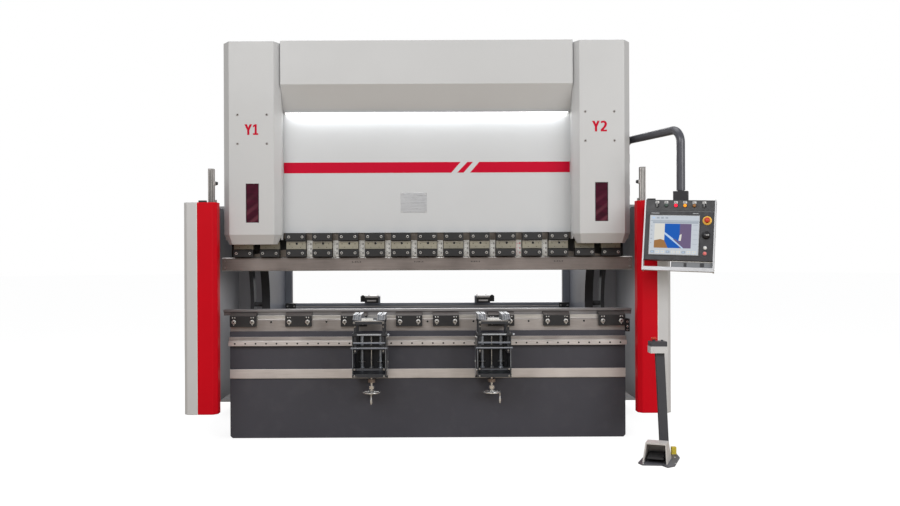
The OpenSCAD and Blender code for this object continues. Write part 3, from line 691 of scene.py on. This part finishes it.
for side, X in (("left", -0.428), ("right", 0.487)):
    p_ = Piece("table_" + side + "_fittings", "table_" + side, ["bright", "silver", "ink", "zinc", "hole", "black", "blue_steel", "table", "label"], "aluminium")
    # front plate with a light edge strip, a painted edge highlight, and corner screws
    p_.box((X - 0.100, -0.4990, 0.9265), (X + 0.100, -0.4979, 0.9300), "bright")
    for sx in (-1, 1):
        xr = X + sx * 0.088
        # bright strips along the edges of each rail and of its slot are painted highlights; the dark strip on the slot
        # floor is painted shade
        for u, w_, k_ in ((-0.0275, 0.0030, "bright"), (-0.0072, 0.0026, "bright"), (0.0072, 0.0026, "bright"), (0.0275, 0.0030, "bright"), (-0.0165, 0.0022, "ink"), (0.0165, 0.0022, "ink")):
            x0, x1 = xr + u - w_ / 2, xr + u + w_ / 2
            for ya, yb in ((-0.4975, -0.420), (-0.420, -0.1495)):
                za, zb = rail_z(ya) + 0.0006, rail_z(yb) + 0.0006
                v = [(x0, ya, za - 0.001), (x1, ya, za - 0.001), (x1, yb, zb - 0.001), (x0, yb, zb - 0.001), (x0, ya, za), (x1, ya, za), (x1, yb, zb), (x0, yb, zb)]
                p_._add(v, [(0, 3, 2, 1), (4, 5, 6, 7), (0, 1, 5, 4), (1, 2, 6, 5), (2, 3, 7, 6), (3, 0, 4, 7)], k_)
        p_.socket_bolt((X + sx * 0.104, -0.4451, 0.885), (0, -1, 0), 0.006, 0.0035, "zinc", "hole", 16)
        p_.socket_bolt((X + sx * 0.104, -0.4451, 0.707), (0, -1, 0), 0.006, 0.0035, "zinc", "hole", 16)
        p_.socket_bolt((X + sx * 0.106, -0.4981, 0.9185), (0, -1, 0), 0.0075, 0.005, "zinc", "hole", 16)
    # white label on a small bracket between the rails
    p_.box((X - 0.052, -0.4985, 0.9318), (X + 0.034, -0.4955, 0.9500), "label", 0.0006)
    for k in range(8):
        p_.box((X - 0.046 + k * 0.0100, -0.4990, 0.9350), (X - 0.0450 + k * 0.0100, -0.4984, 0.9400 + (k % 2) * 0.004), "ink")
    # scale plate between the rails
    p_.box((X - 0.050, -0.4950, 0.9318), (X + 0.050, -0.4320, 0.9345), "silver", 0.0005)
    for k in range(7):
        p_.box((X - 0.044 + (k % 2) * 0.004, -0.489 + k * 0.0080, 0.9344), (X + 0.044 - (k % 3) * 0.012, -0.4876 + k * 0.0080, 0.9349), "ink")
    p_.done()

    p_ = Piece("support_" + side + "_fittings", "support_" + side, ["bright", "silver", "zinc", "hole", "black", "blue_steel", "rod"], "support_paint")
    for sx in (-1, 1):
        for z in (0.524, 0.574):
            p_.socket_bolt((X + sx * 0.108, -0.4601, z), (0, -1, 0), 0.0062, 0.0045, "zinc", "hole", 16)
        for y, z in ((-0.40, 0.80), (-0.24, 0.79), (-0.40, 0.56), (-0.20, 0.60)):
            p_.socket_bolt((X + sx * 0.1251, y, z), (sx, 0, 0), 0.0062, 0.004, "zinc", "hole", 16)
        # clamp screw with a small cross handle at the foot of each rod
        p_.lathe((X + sx * 0.0715, -0.180, 0.5380), (0, 0, 1), [(0.018, 0), (0.018, 0.018), (0.0125, 0.020)], "rod", 20)
        p_.tube([(X + sx * 0.0715 - 0.026, -0.200, 0.600), (X + sx * 0.0715 + 0.026, -0.200, 0.600)], 0.0035, "bright", 10)
        p_.lathe((X + sx * 0.0715, -0.1920, 0.600), (0, -1, 0), [(0.009, 0), (0.009, 0.010), (0.006, 0.012), (0, 0.012)], "rod", 16)
        # bright lips on the side plates' front edges, painted edge highlights
        p_.box((X + sx * 0.121 - 0.0008, -0.4506, 0.583), (X + sx * 0.121 + 0.0008, -0.4498, 0.722), "rod")
    p_.lathe((X + 0.142, -0.4601, 0.827), (0, -1, 0), [(0.008, 0), (0.008, 0.006), (0, 0.007)], "rod", 16)
    # light bars across the front; the thin bright strip along the blued bar's top edge is a painted highlight
    p_.box((X - 0.088, -0.4612, 0.8225), (X + 0.088, -0.4598, 0.8320), "rod", 0.0006)
    p_.box((X - 0.117, -0.4600, 0.7600), (X + 0.117, -0.4520, 0.7720), "blue_steel", 0.0015)
    p_.box((X - 0.117, -0.4604, 0.7705), (X + 0.117, -0.4596, 0.7725), "rod")
    p_.box((X - 0.132, -0.4606, 0.7300), (X + 0.132, -0.4598, 0.7325), "rod")
    p_.box((X - 0.090, -0.4606, 0.5700), (X + 0.090, -0.4598, 0.5722), "blue_steel")
    p_.done()

for side, X in (("left", -0.428), ("right", 0.487)):
    p_ = Piece("handwheel_" + side + "_dish", "handwheel_" + side, ["chrome", "wheel", "hole"], "chrome")
    p_.lathe((X, -0.180, 0.356), (0, 0, 1), [(0.0175, -0.004), (0.030, -0.0055), (0.048, 0.000), (0.0585, 0.0065), (0.0585, 0.0085), (0.046, 0.0035), (0.030, 0.000), (0.0175, 0.0015)], "chrome", 40)
    p_.lathe((X, -0.180, 0.352), (0, 0, -1), [(0.0175, 0), (0.0165, 0.003), (0.009, 0.0045), (0, 0.0045)], "chrome", 24)
    p_.done()

# ---------------------------------------------------------------- back gauge

p_ = Piece("gauge_beam_fittings", "gauge_beam", ["bright", "zinc", "hole", "black"], "rail_steel")
p_.box((-1.188, 1.0994, 0.938), (1.188, 1.1004, 0.946), "bright")
for x in (-1.235, 1.235):
    for dx in (-0.03, 0.03):
        p_.socket_bolt((x + dx, 1.0999, 0.945), (0, -1, 0), 0.007, 0.004, "zinc", "hole", 16)
p_.done()
for side, X, s in (("left", -0.490, -1), ("right", 0.490, 1)):
    p_ = Piece("finger_" + side + "_fittings", "finger_" + side, ["zinc", "hole", "black", "bright"], "black_steel")
    p_.box((X - 0.052, 1.092, 1.034), (X + 0.052, 1.186, 1.0405), "bright", 0.002)
    p_.box((X - 0.058, 0.8602, 1.032), (X + 0.058, 0.8622, 1.0465), "bright", 0.0006)
    p_.box((X - 0.040, 0.8604, 1.000), (X + 0.040, 0.8616, 1.012), "bright", 0.0004)
    p_.box((X - 0.056, 0.8608, 0.990), (X + 0.056, 0.8622, 1.030), "black", 0.0004)
    for dx in (-0.04, 0.04):
        p_.socket_bolt((X + dx, 0.8609, 1.040), (0, -1, 0), 0.0045, 0.003, "zinc", "hole", 14)
        p_.socket_bolt((X + dx, 1.10, 1.0404), (0, 0, 1), 0.006, 0.004, "zinc", "hole", 14)
        p_.socket_bolt((X + dx, 1.17, 1.0404), (0, 0, 1), 0.006, 0.004, "zinc", "hole", 14)
    p_.lathe((X + s * 0.078, 0.8925, 1.0455), (0, 0, 1), [(0.012, 0), (0.012, 0.006), (0.010, 0.008), (0, 0.008)], "black", 18)
    p_.done()

# ---------------------------------------------------------------- console

CT = (Matrix.Translation((1.815, -0.600, 1.523)) @ Matrix.Rotation(math.radians(-20), 4, "Z")
      @ Matrix.Rotation(math.radians(-10), 4, "X") @ Matrix.Rotation(math.radians(2), 4, "Y") @ Matrix.Translation((-0.0085, -0.095, 0)))
mats = ["con", "con_dark", "alu_x", "white", "ink", "pink", "estop", "yellow", "lamp_red", "lamp_amber", "lamp_off", "lamp_green",
        "scr_white", "scr_grey", "scr_cream", "scr_blue", "scr_purple", "scr_brown", "scr_line", "hole", "zinc", "silver", "chrome", "plinth", "bezel"]
p_ = Piece("console_panel", "console", mats, "console_plastic")
p_.tr = CT
F = (0, -1, 0)
# dark strip with the switches, a light line under it
p_.box((-0.233, -0.0022, 0.176), (0.233, 0.0005, 0.253), "con_dark", 0.0008)
p_.box((-0.233, -0.0024, 0.1715), (0.233, 0.0005, 0.1740), "plinth")
for u, kind in ((-0.158, "sel"), (-0.095, "lamp_green"), (-0.029, "lamp_red"), (0.034, "lamp_amber"), (0.097, "lamp_off"), (0.164, "sel")):
    p_.box((u - 0.0125, -0.0034, 0.2290), (u + 0.0125, -0.0018, 0.2455), "white", 0.0005)
    for k in range(3):
        p_.box((u - 0.0095, -0.0037, 0.2315 + k * 0.0045), (u + 0.0095 - k * 0.004, -0.0033, 0.2338 + k * 0.0045), "ink")
    if kind == "sel":
        p_.lathe((u, -0.0020, 0.214), F, [(0.0150, 0), (0.0150, 0.004), (0.0135, 0.006), (0.011, 0.006)], "con", 24)
        p_.lathe((u, -0.0020, 0.214), F, [(0.011, 0.004), (0.0105, 0.008), (0, 0.0085)], "con_dark", 24)
        p_.box((u - 0.0035, -0.0190, 0.2005), (u + 0.0035, -0.0095, 0.2275), "con", 0.001)
        p_.box((u - 0.0012, -0.0195, 0.2010), (u + 0.0012, -0.0185, 0.2260), "white")
    else:
        p_.lathe((u, -0.0020, 0.214), F, [(0.0150, 0), (0.0150, 0.004), (0.0140, 0.006), (0.0118, 0.006)], "con", 24)
        p_.lathe((u, -0.0020, 0.214), F, [(0.0118, 0.005), (0.0115, 0.010), (0.0095, 0.013), (0.005, 0.0145), (0, 0.0147)], kind, 24)
# screen bezel and screen, set in a shallow frame
p_.box((-0.210, -0.0026, -0.148), (0.144, 0.0005, 0.150), "con_dark", 0.001)
p_.box((-0.2035, -0.0034, -0.1415), (0.1375, -0.0020, 0.1435), "bezel", 0.0006)
S = -0.0036
p_.box((-0.199, S - 0.0003, -0.137), (0.133, S + 0.0004, 0.139), "scr_white")
p_.box((-0.199, S - 0.0006, 0.100), (0.133, S - 0.0002, 0.106), "scr_grey")
p_.box((-0.182, S - 0.0006, 0.085), (0.130, S - 0.0002, 0.097), "scr_grey")
p_.box((-0.168, S - 0.0006, -0.093), (0.084, S - 0.0002, 0.082), "scr_cream")
p_.box((-0.098, S - 0.0009, -0.093), (0.012, S - 0.0005, 0.082), "scr_blue")
p_.box((0.006, S - 0.0010, -0.093), (0.084, S - 0.0006, 0.082), "scr_purple")
p_.prism([(-0.168, -0.093), (-0.072, -0.093), (-0.098, -0.038), (-0.124, -0.030), (-0.168, -0.040)], S - 0.0012, S - 0.0007, "scr_brown", "xz")
p_.prism([(0.022, -0.093), (0.052, -0.093), (-0.098, 0.022), (-0.098, 0.006)], S - 0.0013, S - 0.0008, "scr_line", "xz")
p_.prism([(0.034, -0.093), (0.060, -0.093), (-0.020, -0.030), (-0.040, -0.028)], S - 0.0014, S - 0.0009, "scr_purple", "xz")
p_.prism([(0.000, -0.040), (0.016, -0.040), (0.020, 0.008), (0.006, 0.002)], S - 0.0014, S - 0.0009, "scr_cream", "xz")
for k in range(5):
    p_.box((-0.194, S - 0.0008, 0.060 - k * 0.030), (-0.186 + (k % 2) * 0.004, S - 0.0003, 0.066 - k * 0.030), "scr_grey")
    p_.box((0.096, S - 0.0008, 0.072 - k * 0.034), (0.126, S - 0.0003, 0.074 - k * 0.034), "scr_grey")
for k in range(9):
    p_.box((-0.190 + k * 0.0355, S - 0.0008, -0.130), (-0.164 + k * 0.0355, S - 0.0003, -0.112), "scr_cream" if k % 3 else "scr_grey")
    p_.box((-0.184 + k * 0.0355, S - 0.0011, -0.124), (-0.172 + k * 0.0355, S - 0.0007, -0.118), "scr_line")
for k in range(4):
    p_.box((-0.186 + k * 0.030, S - 0.0008, 0.118), (-0.168 + k * 0.030, S - 0.0003, 0.130), "scr_grey" if k else "scr_line")
# stop button with its yellow ring, knob, two buttons
p_.lathe((0.188, 0.0, 0.109), F, [(0.0315, 0), (0.0315, 0.0035), (0.030, 0.005), (0.017, 0.0055)], "yellow", 32)
p_.lathe((0.188, 0.0, 0.109), F, [(0.013, 0.005), (0.013, 0.016), (0.0185, 0.019), (0.0195, 0.026), (0.0165, 0.032), (0.008, 0.0345), (0, 0.035)], "estop", 28)
p_.lathe((0.184, 0.0, 0.004), F, [(0.0270, 0), (0.0270, 0.003), (0.0240, 0.005), (0.0235, 0.020), (0.0215, 0.0225), (0, 0.0235)], "con_dark", 28)
p_.box((0.1835, -0.0245, 0.001), (0.2045, -0.0230, 0.0045), "white")
p_.lathe((0.184, 0.0, 0.004), F, [(0.0300, 0.0), (0.0300, 0.0012), (0.0272, 0.0014)], "ink", 28)
p_.lathe((0.181, 0.0, -0.086), F, [(0.0140, 0), (0.0140, 0.004), (0.0130, 0.006), (0.0115, 0.006)], "plinth", 24)
p_.lathe((0.181, 0.0, -0.086), F, [(0.0115, 0.005), (0.0112, 0.009), (0, 0.0095)], "white", 24)
p_.lathe((0.180, 0.0, -0.126), F, [(0.0145, 0), (0.0145, 0.004), (0.0135, 0.006), (0.0125, 0.006)], "plinth", 24)
p_.lathe((0.180, 0.0, -0.126), F, [(0.0125, 0.005), (0.0122, 0.009), (0, 0.0095)], "pink", 24)
# two small plain plates over the screen
p_.box((-0.196, -0.0022, 0.1560), (-0.140, 0.0004, 0.1605), "bezel", 0.0003)
p_.box((0.088, -0.0022, 0.1560), (0.128, 0.0004, 0.1605), "bezel", 0.0003)
# tray below: white front edge and grey contents plate
p_.box((-0.042, 0.0185, -0.187), (0.234, 0.0202, -0.180), "white", 0.0004)
p_.box((-0.040, 0.0188, -0.224), (0.232, 0.0202, -0.188), "plinth", 0.0004)
p_.box((0.040, 0.0180, -0.220), (0.060, 0.0192, -0.192), "con", 0.0004)
p_.box((0.150, 0.0180, -0.220), (0.178, 0.0192, -0.192), "con", 0.0004)
# screws in the side rails
for su in (-1, 1):
    for v in (-0.235, 0.0, 0.235):
        p_.socket_bolt((su * 0.2448, 0.030, v), (su, 0, 0), 0.005, 0.003, "zinc", "hole", 14)
p_.done()

p_ = Piece("arm_screws", "frame", ["zinc", "hole"], "chrome")
for z0_, zc in ((1.870, 1.915), (2.130, 2.165)):
    for y in (0.090, 0.142):
        p_.socket_bolt((1.470, y - 0.0201 + 0.0201, zc + 0.0451 if zc < 2 else 2.2001), (0, 0, 1), 0.007, 0.005, "zinc", "hole", 16)
for x in (1.42, 1.50):
    p_.socket_bolt((x, 0.0699, 1.915), (0, -1, 0), 0.008, 0.006, "zinc", "hole", 16)
    p_.socket_bolt((x, 0.0699, 2.165), (0, -1, 0), 0.008, 0.006, "zinc", "hole", 16)
p_.done()

# ---------------------------------------------------------------- pedal

HT = Matrix.Translation((1.557, -0.915, 0)) @ Matrix.Rotation(math.radians(-22), 4, "Z") @ Matrix.Translation((-1.525, 0.915, 0))
p_ = Piece("pedal_ribs", "pedal", ["rubber"], "pedal_black")
p_.tr = HT
for k in range(6):
    t = k / 5
    y = -1.004 + t * 0.112
    z = 0.0462 + t * 0.0146
    p_.box((1.478, y - 0.004, z - 0.0006), (1.572, y + 0.004, z + 0.0018), "rubber", 0.0008)
p_.done()
p_ = Piece("pedal_fittings", "frame", ["gland", "zinc", "hole", "white", "ink", "rubber"], "paint_grey")
p_.lathe((1.7195, -0.730, 0.0585), (0, 0, 1), [(0.0150, -0.012), (0.0150, 0.0), (0.0120, 0.0)], "gland", 6, smooth=False)
for x, y in ((1.437, -1.015), (1.655, -1.015), (1.70, -0.83), (1.545, -0.725)):
    p_.socket_bolt((x, y, 0.0079), (0, 0, 1), 0.006, 0.003, "zinc", "hole", 14)
for x in (1.552, 1.640):
    p_.lathe((x, -0.8351, 0.748), (0, -1, 0), [(0.003, 0), (0.003, 0.001), (0, 0.0014)], "zinc", 12)
p_.done()

# ---------------------------------------------------------------- rear: motor, cap, door seams

p_ = Piece("pump_motor", "frame", ["tank", "black", "zinc", "hole", "silver"], "paint_grey")
for k in range(11):
    x = -0.190 + k * 0.0255
    p_.lathe((x, 0.710, 2.850), (1, 0, 0), [(0.0945, 0), (0.1035, 0.001), (0.1035, 0.006), (0.0945, 0.007)], "tank", 36)
p_.lathe((0.160, 0.710, 2.850), (1, 0, 0), [(0.093, 0), (0.090, 0.018), (0.080, 0.024), (0.020, 0.026), (0, 0.026)], "black", 36)
for k in range(12):
    a = 2 * math.pi * k / 12
    p_.lathe((0.1855, 0.710 + 0.052 * math.cos(a), 2.850 + 0.052 * math.sin(a)), (1, 0, 0), [(0.0075, 0), (0.0065, 0.0008), (0, 0.0009)], "hole", 12)
p_.box((-0.075, 0.640, 2.938), (0.055, 0.780, 2.985), "tank", 0.006)
p_.lathe((-0.700, 0.710, 2.700), (0, 0, 1), [(0.045, 0), (0.045, 0.022), (0.036, 0.028), (0.036, 0.060), (0.030, 0.068), (0, 0.070)], "black", 28)
p_.lathe((0.600, 0.860, 2.700), (0, 0, 1), [(0.052, 0), (0.052, 0.010), (0.040, 0.014), (0.040, 0.120), (0.034, 0.128), (0, 0.130)], "silver", 28)
p_.box((0.350, 0.560, 2.6995), (0.900, 0.780, 2.7700), "tank", 0.005)
for k in range(5):
    x = 0.400 + k * 0.105
    p_.box((x, 0.600, 2.7698), (x + 0.060, 0.730, 2.8150), "black", 0.004)
for x in (-1.27, -0.64, 0.0, 0.64, 1.27):
    for z in (2.19, 2.66):
        p_.socket_bolt((x, 1.0001, z), (0, 1, 0), 0.010, 0.006, "zinc", "hole", 16)
p_.done()

p_ = Piece("cabinet_doors", "frame", ["grey", "hole", "zinc", "black"], "paint_grey")
for s in (-1, 1):
    # service door at the back with hinges and a lock
    xa, xb = sorted((s * 1.410, s * 1.815))
    p_.box((xa, 1.5598, 0.200), (xb, 1.5680, 1.800), "grey", 0.003)
    for z in (0.40, 1.00, 1.60):
        p_.lathe((s * 1.822, 1.564, z - 0.035), (0, 0, 1), [(0.0, 0), (0.008, 0), (0.008, 0.070), (0.0, 0.070)], "black", 14)
    p_.lathe((s * 1.440, 1.5678, 1.000), (0, 1, 0), [(0.016, 0), (0.016, 0.004), (0.013, 0.006), (0, 0.006)], "zinc", 20)
    p_.box((s * 1.440 - 0.002, 1.5735, 0.992), (s * 1.440 + 0.002, 1.5745, 1.008), "hole")
    for y in (0.10, 0.60):
        for z in (0.30, 1.74):
            p_.lathe((s * 1.6671, y, z), (s, 0, 0), [(0.008, 0), (0.007, 0.002), (0, 0.003)], "zinc", 14)
p_.done()

p_ = Piece("frame_anchors", "frame", ["zinc", "hole"], "chrome")
for s in (-1, 1):
    for y in (0.1975, 1.510):
        # washers round the open anchor holes and levelling screws beside them
        p_.lathe((s * 1.412, y, 0.030), (0, 0, 1), [(0.0125, 0), (0.0125, 0.0005), (0.0125, 0.003), (0.021, 0.003), (0.021, 0)], "zinc", 24)
        p_.lathe((s * 1.276, y, 0.030), (0, 0, 1), [(0.014, 0), (0.014, 0.012), (0.009, 0.013), (0.009, 0.034), (0, 0.035)], "zinc", 6, smooth=False)
p_.done()

# ---------------------------------------------------------------- stage, light, camera

me = bpy.data.meshes.new("floor")
bm = bmesh.new()
N = 64
R = 60.0
ring = [bm.verts.new((R * math.cos(2 * math.pi * k / N), R * math.sin(2 * math.pi * k / N), -0.0005)) for k in range(N)]
bm.faces.new(ring)
bm.to_mesh(me)
bm.free()
m = bpy.data.materials.new("pale_floor")
m.use_nodes = True
nt = m.node_tree
nt.nodes.clear()
out = nt.nodes.new("ShaderNodeOutputMaterial")
tc = nt.nodes.new("ShaderNodeTexCoord").outputs["Object"]
# the floor bounces a warm pale light and shows as a near-white sheet with soft contact shadows
bounce = nt.nodes.new("ShaderNodeBsdfDiffuse")
node_link(nt, mix_color(nt, noise(nt, tc, 0.5, 3), (0.44, 0.375, 0.29), (0.47, 0.40, 0.315)), bounce.inputs["Color"])
seen = nt.nodes.new("ShaderNodeBsdfDiffuse")
seen.inputs["Color"].default_value = (0.25, 0.25, 0.25, 1)
white = nt.nodes.new("ShaderNodeEmission")
white.inputs["Strength"].default_value = 0.87
add = nt.nodes.new("ShaderNodeAddShader")
node_link(nt, seen.outputs[0], add.inputs[0])
node_link(nt, white.outputs[0], add.inputs[1])
path = nt.nodes.new("ShaderNodeLightPath")
mixs = nt.nodes.new("ShaderNodeMixShader")
node_link(nt, path.outputs["Is Camera Ray"], mixs.inputs[0])
node_link(nt, bounce.outputs[0], mixs.inputs[1])
node_link(nt, add.outputs[0], mixs.inputs[2])
node_link(nt, mixs.outputs[0], out.inputs[0])
me.materials.append(m)
floor = bpy.data.objects.new("floor", me)
scene.collection.objects.link(floor)

world = bpy.data.worlds.new("studio")
scene.world = world
world.use_nodes = True
wn = world.node_tree
wn.nodes.clear()
out = wn.nodes.new("ShaderNodeOutputWorld")
soft = wn.nodes.new("ShaderNodeBackground")
soft.inputs[0].default_value = (0.985, 0.99, 1.0, 1)
soft.inputs[1].default_value = 0.48
seen = wn.nodes.new("ShaderNodeBackground")
seen.inputs[0].default_value = (1.0, 1.0, 1.0, 1)
seen.inputs[1].default_value = 1.0
path = wn.nodes.new("ShaderNodeLightPath")
mixs = wn.nodes.new("ShaderNodeMixShader")
node_link(wn, path.outputs["Is Camera Ray"], mixs.inputs[0])
node_link(wn, soft.outputs[0], mixs.inputs[1])
node_link(wn, seen.outputs[0], mixs.inputs[2])
node_link(wn, mixs.outputs[0], out.inputs[0])


def area(name, at, look, size, power, col=(1, 1, 1)):
    li = bpy.data.lights.new(name, "AREA")
    li.shape = "RECTANGLE"
    li.size, li.size_y = size
    li.energy = power
    li.color = col
    ob = bpy.data.objects.new(name, li)
    ob.location = at
    ob.rotation_euler = (Vector(look) - Vector(at)).to_track_quat("-Z", "Y").to_euler()
    scene.collection.objects.link(ob)
    return ob


area("key", (-2.5, -6.5, 5.2), (0, 0, 1.5), (5.0, 3.0), 190)
area("fill", (4.5, -5.5, 3.4), (0.3, 0, 1.3), (4.0, 3.0), 155)
area("top", (0, 0.5, 7.0), (0, 0.2, 0), (6.0, 4.0), 130)
area("back", (0, 6.0, 4.0), (0, 0, 1.2), (5.0, 3.0), 200)
# soft light between the frames and the side panels
for s in (-1, 1):
    area("side_gap", (s * 1.400, 0.35, 0.76), (s * 1.700, 0.35, 0.76), (0.7, 0.9), 0.9).visible_camera = False
area("under_tank", (0, 0.75, 2.10), (0, 0.75, 0.0), (2.2, 0.5), 7).visible_camera = False
area("lamp", (0, -0.085, 2.500), (0, -0.020, 2.30), (2.10, 0.03), 1.25, (0.90, 0.96, 1.0)).visible_camera = False

cam = bpy.data.cameras.new("camera")
cam.lens = 36.0
cam.sensor_width = 36.0
cam.shift_x = 0.0253
cam.shift_y = 0.0
cam.clip_start, cam.clip_end = 0.05, 200
cam.dof.use_dof = False
co = bpy.data.objects.new("camera", cam)
co.location = (0, -7.034, 1.423)
co.rotation_euler = (math.radians(90), math.radians(0.25), 0)
scene.collection.objects.link(co)
scene.camera = co
scene.view_settings.view_transform = "Standard"
scene.view_settings.look = "None"
